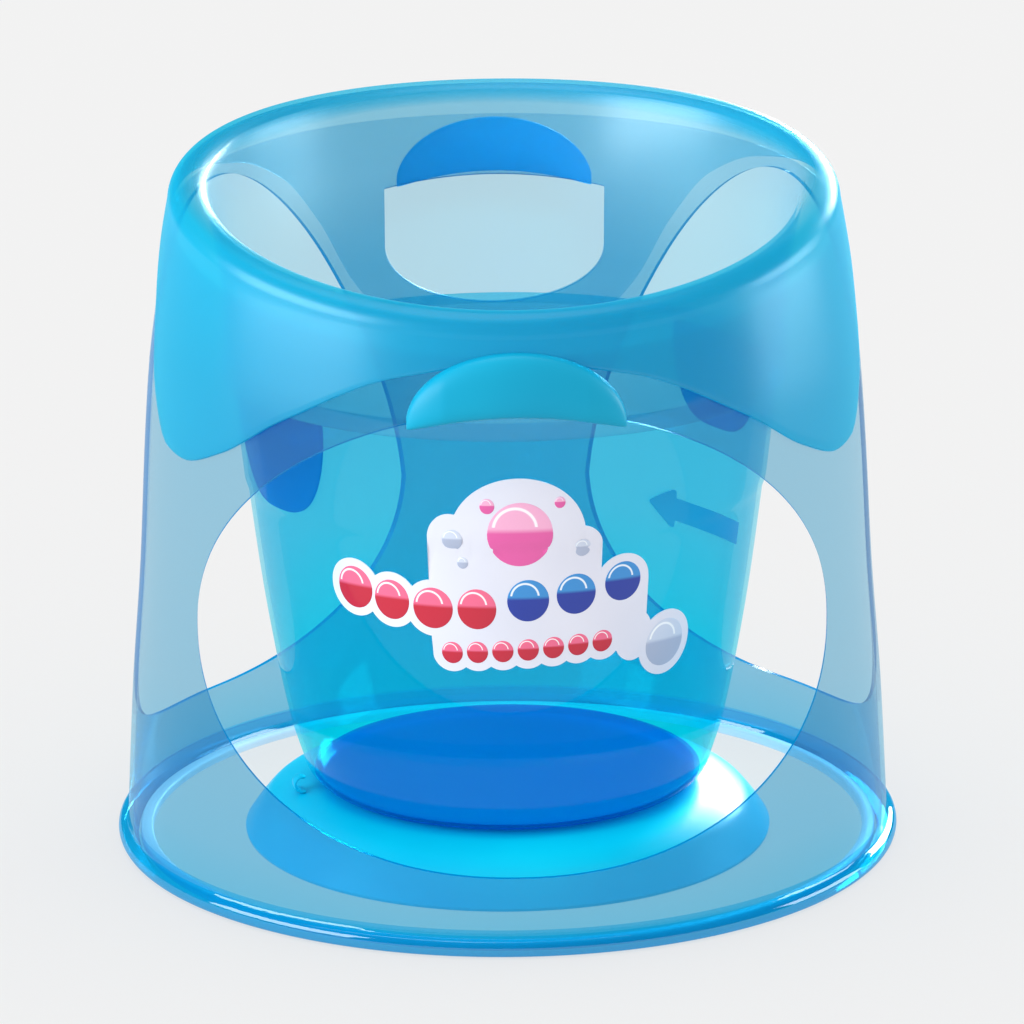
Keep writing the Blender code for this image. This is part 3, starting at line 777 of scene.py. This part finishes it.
def bucket_corner():
    """Round corner between the bucket's floor and its side."""
    steps = 18
    lean = math.radians(BUCKET_CORNER_LEAN)
    points = []
    for k in range(steps + 1):
        t = k / steps
        turn = math.pi / 2 * (1 - t) + lean * t
        r = BUCKET_CORNER_CENTRE + BUCKET_CORNER_RADIUS * math.cos(turn)
        points.append((r, BUCKET_FLOOR + BUCKET_CORNER_RADIUS * (1 - math.sin(turn))))
    return points


def bucket_side():
    """Side above the corner, with the small step into the band and the neck above it."""
    corner_end = bucket_corner()[-1]
    side = [(corner_end[1], corner_end[0])] + list(BUCKET_SIDE[1:])
    points = []
    rows = 30
    for k in range(1, rows + 1):
        z = side[0][0] + (side[-1][0] - side[0][0]) * k / rows
        points.append((curve_value(side, z), z))
    (z0, r0), (z1, r1) = BUCKET_BAND
    points += [(r0 - 0.0012, z0 - 0.0040), (r0 - 0.0004, z0 - 0.0016)]
    band_rows = 8
    for k in range(band_rows + 1):
        t = k / band_rows
        points.append((r0 + (r1 - r0) * t, z0 + (z1 - z0) * t))
    points += [(BUCKET_NECK_RADIUS, z1 + 0.0004), (BUCKET_NECK_RADIUS, BUCKET_NECK_TOP)]
    return points


def bucket_radius(height):
    profile = bucket_corner() + bucket_side()
    for (r0, z0), (r1, z1) in zip(profile, profile[1:]):
        if z0 <= height <= z1:
            return r0 + (r1 - r0) * (height - z0) / (z1 - z0)
    return profile[-1][0]


def make_bucket():
    """Bucket wall, clear, with a floor of deeper blue."""
    outside = [(0.0, BUCKET_FLOOR), (0.050, BUCKET_FLOOR)] + bucket_corner() + bucket_side()
    inside = [(0.0, BUCKET_FLOOR + BUCKET_THICKNESS)] + offset_path(outside[1:], BUCKET_THICKNESS)
    inside[-1] = (outside[-1][0] - BUCKET_THICKNESS, outside[-1][1])
    piece = turned("bucket_body", inside + outside[::-1], [BUCKET_CLEAR, BUCKET_BASE])
    for polygon in piece.data.polygons:
        if polygon.center.z < BUCKET_FLOOR + 0.0046:
            polygon.material_index = 1
    return piece


def make_cup():
    """Flared suction cup, hollow underneath."""
    radii = [r for r, z in CUP_PROFILE]
    outside = [(0.0, CUP_PROFILE[0][1]), (0.06, CUP_PROFILE[0][1])]
    steps = 36
    for k in range(steps + 1):
        r = radii[0] + (radii[-1] - radii[0]) * k / steps
        outside.append((r, curve_value(CUP_PROFILE, r)))
    inside = [(0.0, outside[0][1] - CUP_THICKNESS)]
    inside += offset_path(outside[1:], -CUP_THICKNESS)
    inside = [(r, max(z, 0.0)) for r, z in inside[:-1]] + [(radii[-1] - CUP_THICKNESS, 0.0)]
    outside.append((radii[-1] - 0.0003, 0.0))
    trimmed = []
    for point in inside:
        if not trimmed or point[1] < trimmed[-1][1] or point[0] > trimmed[-1][0] + 1e-5:
            trimmed.append(point)
    return turned("cup", outside + trimmed[::-1], [CUP])


# ---------------------------------------------------------------- small pieces

def make_grip(name, facing, end_height, material):
    """Puffed crescent with a rounded border, lying on the skirt; facing is -1 in front and 1 behind."""
    loops = []
    steps = 72
    around = 40
    tip_end = 0.992
    droop = 0.0050
    for k in range(steps + 1):
        u = math.sin(math.pi / 2 * (2 * k / steps - 1)) * tip_end
        x = GRIP_HALF_WIDTH * u
        tip = math.sqrt(1 - u * u)
        low = end_height + GRIP_ARCH * (1 - u * u) - droop * tip ** 0.5 * (1 - tip)
        high = end_height + GRIP_RISE * tip
        middle = (low + high) / 2
        half = (high - low) / 2
        loop = []
        for j in range(around):
            turn = 2 * math.pi * j / around
            z = middle + half * math.copysign(abs(math.cos(turn)) ** 0.8, math.cos(turn))
            bulge = max(0.0, math.sin(turn)) ** 0.5 * GRIP_DEPTH * min(1.0, 0.25 + tip)
            radius = skirt_radius(z) + FIT_GAP + bulge
            loop.append((x, facing * math.sqrt(radius ** 2 - x * x), z))
        loops.append(loop)
    return loft(name, loops, [material], closed_row=False, sharp=SOFT_DEGREES)


def film(azimuth, low, high, thickness, rows):
    """Section of a thin film on the bucket between two heights, at one azimuth."""
    heights = [low + (high - low) * k / rows for k in range(rows + 1)]
    inner = [at_azimuth(azimuth, bucket_radius(z) + FILM_GAP, z) for z in heights]
    outer = [at_azimuth(azimuth, bucket_radius(z) + FILM_GAP + thickness, z) for z in heights]
    return inner + outer[::-1]


def make_lock_tab(name, azimuth):
    """U-shaped tab that hangs from the ring over the bucket's band."""
    loops = []
    steps = 60
    least_height = 0.0020
    for k in range(steps + 1):
        u = math.sin(math.pi / 2 * (2 * k / steps - 1)) * 0.999
        low = LOCK_TAB_TOP - (LOCK_TAB_TOP - LOCK_TAB_BOTTOM) * (1 - abs(u) ** 3.2) ** 0.55
        low = min(low, LOCK_TAB_TOP - least_height)
        at = azimuth + LOCK_TAB_HALF_ANGLE * u
        loops.append(film(at, low, LOCK_TAB_TOP, LOCK_TAB_THICKNESS, rows=10))
    return loft(name, loops, [TAB], closed_row=False)


def make_arrow():
    """Arrow film on the bucket, as (azimuth, half height) stations from its tip to its tail."""
    stations = [(ARROW_START, 0.0006), (ARROW_START + 1, ARROW_HEAD_HALF * 0.24)]
    stations += [(ARROW_START + 3, ARROW_HEAD_HALF * 0.58), (ARROW_HEAD_END - 0.8, ARROW_HEAD_HALF * 0.98)]
    stations += [(ARROW_HEAD_END, ARROW_HEAD_HALF), (ARROW_HEAD_END + 0.25, ARROW_HEAD_HALF * 0.90)]
    shaft_start = ARROW_HEAD_END + 0.4
    shaft_steps = 30
    for k in range(shaft_steps + 1):
        stations.append((shaft_start + (ARROW_END - shaft_start) * k / shaft_steps, ARROW_SHAFT_HALF))
    loops = []
    for at, half in stations:
        middle = ARROW_TIP_HEIGHT - ARROW_DROP_PER_DEGREE * (at - ARROW_START)
        loops.append(film(at, middle - half, middle + half, FILM_THICKNESS, rows=6))
    return loft("arrow", loops, [ARROW], closed_row=False)


def label_edges(azimuth):
    """Lower and upper edge of the label, from the round lobes that it is cut along."""
    low, high = 1.0, 0.0
    for at, centre, half_width, half_height in LABEL_LOBES:
        along = math.radians(azimuth - at) * LABEL_RADIUS / half_width
        if abs(along) < 1:
            reach = half_height * math.sqrt(1 - along * along)
            low = min(low, centre - reach)
            high = max(high, centre + reach)
    return low, high


def make_label():
    """White film cut along the lobes, without its two vanishing ends."""
    first = LABEL_LOBES[0][0] - math.degrees(LABEL_LOBES[0][2] / LABEL_RADIUS)
    last = LABEL_LOBES[-1][0] + math.degrees(LABEL_LOBES[-1][2] / LABEL_RADIUS)
    loops = []
    steps = 420
    trimmed = 0.0004
    for k in range(steps + 1):
        at = first + (last - first) * (trimmed + (1 - 2 * trimmed) * k / steps)
        low, high = label_edges(at)
        loops.append(film(at, low, high, FILM_THICKNESS, rows=16))
    return loft("label_base", loops, [LABEL], closed_row=False)


def print_discs(name, discs, material):
    """Low printed domes (azimuth, height, half width, half height) a hair above the label."""
    shape = bmesh.new()
    layer = shape.loops.layers.uv.new("print")
    rings = 8
    steps = 48
    gap = FILM_GAP + FILM_THICKNESS + 0.00005
    dome = 0.00035
    sunk = 0.00008

    def add_face(corners, marks):
        face = shape.faces.new(corners)
        for loop, mark in zip(face.loops, marks):
            loop[layer].uv = mark

    for azimuth, height, half_width, half_height in discs:

        def spot(share, turn):
            z = height + half_height * share * math.sin(turn)
            radius = bucket_radius(z) + gap + dome * math.sqrt(max(0.0, 1 - share * share))
            at = azimuth + math.degrees(half_width * share * math.cos(turn) / radius)
            mark = (0.5 + 0.5 * share * math.cos(turn), 0.5 + 0.5 * share * math.sin(turn))
            return shape.verts.new(at_azimuth(at, radius, z)), mark

        rows = []
        for i in range(rings + 1):
            share = math.sin(math.pi / 2 * i / rings)
            count = steps if i else 1
            rows.append([spot(share, 2 * math.pi * j / steps) for j in range(count)])
        under = []
        for j in range(steps):
            turn = 2 * math.pi * j / steps
            at = azimuth + math.degrees(half_width * math.cos(turn) / bucket_radius(height))
            z = height + half_height * math.sin(turn)
            under.append(shape.verts.new(at_azimuth(at, bucket_radius(z) + gap - sunk, z)))
        for low, high in zip(rows, rows[1:]):
            for j in range(steps):
                n = (j + 1) % steps
                around = [low[j % len(low)], high[j], high[n], low[n % len(low)]]
                around = list(dict.fromkeys(around))
                add_face([vertex for vertex, mark in around], [mark for vertex, mark in around])
        for j in range(steps):
            (start, start_mark), (end, end_mark) = rows[-1][j], rows[-1][(j + 1) % steps]
            corners = (start, under[j], under[(j + 1) % steps], end)
            add_face(corners, (start_mark, start_mark, end_mark, end_mark))
        shape.faces.new(under)
    bmesh.ops.recalc_face_normals(shape, faces=shape.faces)
    return finish_mesh(name, shape, [material], SOFT_DEGREES)


def make_pull_tab():
    """Curled release tongue on the cup's shoulder."""
    angle = math.radians(TONGUE_AZIMUTH)
    out_axis = (math.sin(angle), -math.cos(angle))
    side_axis = (math.cos(angle), math.sin(angle))
    half_width = 0.0050
    half_thickness = 0.00088
    loops = []
    steps = 40
    around = 20
    for k in range(steps + 1):
        t = k / steps
        turn = math.radians(-20 + 235 * t)
        out = TONGUE_ROOT + 0.0030 + TONGUE_CURL * math.sin(turn) * (1 - 0.25 * t)
        up = TONGUE_HEIGHT + TONGUE_CURL * (1 - math.cos(turn)) * (1 - 0.15 * t)
        rounding = math.sqrt(max(0.06, 1 - max(0.0, (t - 0.86) / 0.142) ** 2))
        half = half_width * (1 - 0.25 * t) * rounding
        normal = (math.sin(turn), -math.cos(turn))
        loop = []
        for j in range(around):
            about = 2 * math.pi * j / around
            side = half * math.copysign(abs(math.cos(about)) ** 0.5, math.cos(about))
            lift = half_thickness * math.sin(about)
            o = out + lift * normal[0]
            z = up + lift * normal[1]
            loop.append((side * side_axis[0] + o * out_axis[0], side * side_axis[1] + o * out_axis[1], z))
        loops.append(loop)
    return loft("release_tab", loops, [CUP], closed_row=False, sharp=SOFT_DEGREES)


def make_foot_band():
    """Whitish ring inside the foot, with softened upper edges."""
    outer = BAND_OUTER_RADIUS
    inner = BAND_INNER_RADIUS
    top = BAND_HEIGHT
    bottom = 0.0001
    profile = [(outer, bottom), (outer, top - 0.0012), (outer - 0.0004, top - 0.0004), (outer - 0.0012, top),
               (inner + 0.0012, top), (inner + 0.0004, top - 0.0004), (inner, top - 0.0012), (inner, bottom)]
    return turned("foot_band", profile, [RUBBER], AROUND)


def place(piece, body, slot, *nodes):
    """Gives the piece its body and hides the CAD nodes that it stands in for; the slot is not used."""
    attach(piece, body)
    if nodes:
        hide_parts(*nodes)
    return piece


place(make_wall(), "support", "clear_blue", "support_shell")
place(make_foot_band(), "support", "foot_rubber", "foot_ring")
place(make_rim(), "rim", "satin_blue", "rim_ring")
place(make_grip("front_handle", -1, GRIP_FRONT_END, GRIP), "rim", "grip_cyan", "grip_front")
place(make_grip("back_handle", 1, GRIP_BACK_END, GRIP_BACK_PAINTED_BRIGHT), "rim", "grip_cyan", "grip_back")
place(make_lock_tab("left_lock_tab", -58), "rim", "tab_blue", "lock_tab_left")
place(make_lock_tab("right_lock_tab", 122), "rim", "tab_blue", "lock_tab_right")
place(make_bucket(), "tub", "bucket_blue", "bucket")
place(make_cup(), "tub", "cup_cyan", "suction_cup")
place(make_arrow(), "tub", "arrow_blue", "twist_arrow")
place(make_label(), "tub", "label_white", "front_label")
place(make_pull_tab(), "tab", "cup_cyan", "pull_tab")

for disc_name, discs, ink in (("label_bubbles_red", RED_DISCS, LABEL_RED),
                              ("label_bubbles_blue", BLUE_DISCS, LABEL_BLUE),
                              ("label_bubbles_small", SMALL_DISCS, LABEL_RED),
                              ("label_bubbles_pink", PINK_DISCS, LABEL_PINK),
                              ("label_bubbles_grey", GREY_DISCS, LABEL_GREY)):
    place(print_discs(disc_name, discs, ink), "tub", "label_white")


# ---------------------------------------------------------------- floor, light and camera

PAPER = (0.890, 0.890, 0.890)
LAMP_AIM = (0, 0, 0.25)
COOL_WHITE = (0.85, 0.96, 1.0)


def make_floor():
    """Pale paper that mostly glows, so that the tub's shadow stays faint."""
    shape = bmesh.new()
    reach = 12.0
    below = -0.0004
    corners = [shape.verts.new((x, y, below)) for x, y in
               ((-reach, -reach), (reach, -reach), (reach, reach), (-reach, reach))]
    shape.faces.new(corners)
    material, tree, out = new_tree("pale floor")
    paper = plain_shader(tree, "ShaderNodeBsdfDiffuse", PAPER)
    own_light = plain_shader(tree, "ShaderNodeEmission", PAPER)
    surface = mix_shaders(tree, 0.72, paper.outputs[0], own_light.outputs[0])
    tree.links.new(surface, out.inputs["Surface"])
    floor = finish_mesh("floor", shape, [material])
    floor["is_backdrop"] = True


def area_light(name, place_at, size, energy, aim=LAMP_AIM, colour=WHITE):
    """Rectangular softbox at a place, turned towards its aim."""
    data = bpy.data.lights.new(name, "AREA")
    data.shape = "RECTANGLE"
    data.size, data.size_y = size
    data.energy = energy
    data.color = colour
    lamp = bpy.data.objects.new(name, data)
    lamp.location = place_at
    direction = Vector(aim) - Vector(place_at)
    lamp.rotation_euler = direction.to_track_quat("-Z", "Y").to_euler()
    bpy.context.scene.collection.objects.link(lamp)
    return lamp


def make_world():
    """White dome that lights the scene, a darker one for mirrored rays, and paper for the camera."""
    world = bpy.data.worlds.new("studio")
    world.use_nodes = True
    tree = world.node_tree
    dome = tree.nodes["Background"]
    dome.inputs["Color"].default_value = (*WHITE, 1)
    dome.inputs["Strength"].default_value = 1.0
    drape = node(tree, "ShaderNodeBackground", Strength=0.16)
    drape.inputs["Color"].default_value = (0.20, 0.75, 1.0, 1)
    backdrop = node(tree, "ShaderNodeBackground", Strength=1.0)
    backdrop.inputs["Color"].default_value = (*PAPER, 1)
    path = tree.nodes.new("ShaderNodeLightPath")
    both = mix_shaders(tree, path.outputs["Is Glossy Ray"], dome.outputs[0], drape.outputs[0])
    seen = mix_shaders(tree, path.outputs["Is Camera Ray"], both, backdrop.outputs[0])
    tree.links.new(seen, tree.nodes["World Output"].inputs["Surface"])
    bpy.context.scene.world = world


def make_light():
    """Softboxes that light only the tub; the floor is left to the dome."""
    make_world()
    lamps = [area_light("left softbox", (-2.0, -0.75, 0.95), (2.0, 1.2), 50, colour=COOL_WHITE),
             area_light("right softbox", (1.9, 0.30, 0.60), (1.2, 0.8), 20, colour=COOL_WHITE),
             area_light("top softbox", (-0.2, 0.3, 2.2), (1.4, 1.4), 8),
             area_light("back panel", (1.08, 2.2, 0.92), (1.4, 0.55), 104, aim=(0.1, 0, 0.37))]
    lit = bpy.data.collections.new("lit by lamps")
    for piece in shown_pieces():
        lit.objects.link(piece)
    for lamp in lamps:
        lamp.visible_camera = False
        lamp.light_linking.receiver_collection = lit


def make_camera():
    """Long lens in front of the tub, a little to its left and above, looking 16 degrees down."""
    focal_length = 180.46
    distance = 2.8107
    height = 0.98534
    around = math.radians(-1.75)
    data = bpy.data.cameras.new("camera")
    data.sensor_width = 36.0
    data.lens = focal_length
    data.clip_start = 0.05
    data.clip_end = 60.0
    camera = bpy.data.objects.new("camera", data)
    camera.location = (distance * math.sin(around), -distance * math.cos(around), height)
    camera.rotation_mode = "QUATERNION"
    turn = math.radians(-1.8226)
    down = math.radians(90 - 15.877)
    roll = math.radians(-0.35)
    camera.rotation_quaternion = (Quaternion((0, 0, 1), turn) @ Quaternion((1, 0, 0), down)
                                  @ Quaternion((0, 0, 1), roll))
    bpy.context.scene.collection.objects.link(camera)
    bpy.context.scene.camera = camera


def make_stage():
    """Floor, light, camera and the light paths that many clear layers need."""
    make_floor()
    make_light()
    make_camera()
    scene = bpy.context.scene
    scene.view_settings.view_transform = "Standard"
    scene.cycles.transparent_max_bounces = 40
    scene.cycles.max_bounces = 8
    scene.cycles.caustics_reflective = False
    scene.cycles.caustics_refractive = False


make_stage()
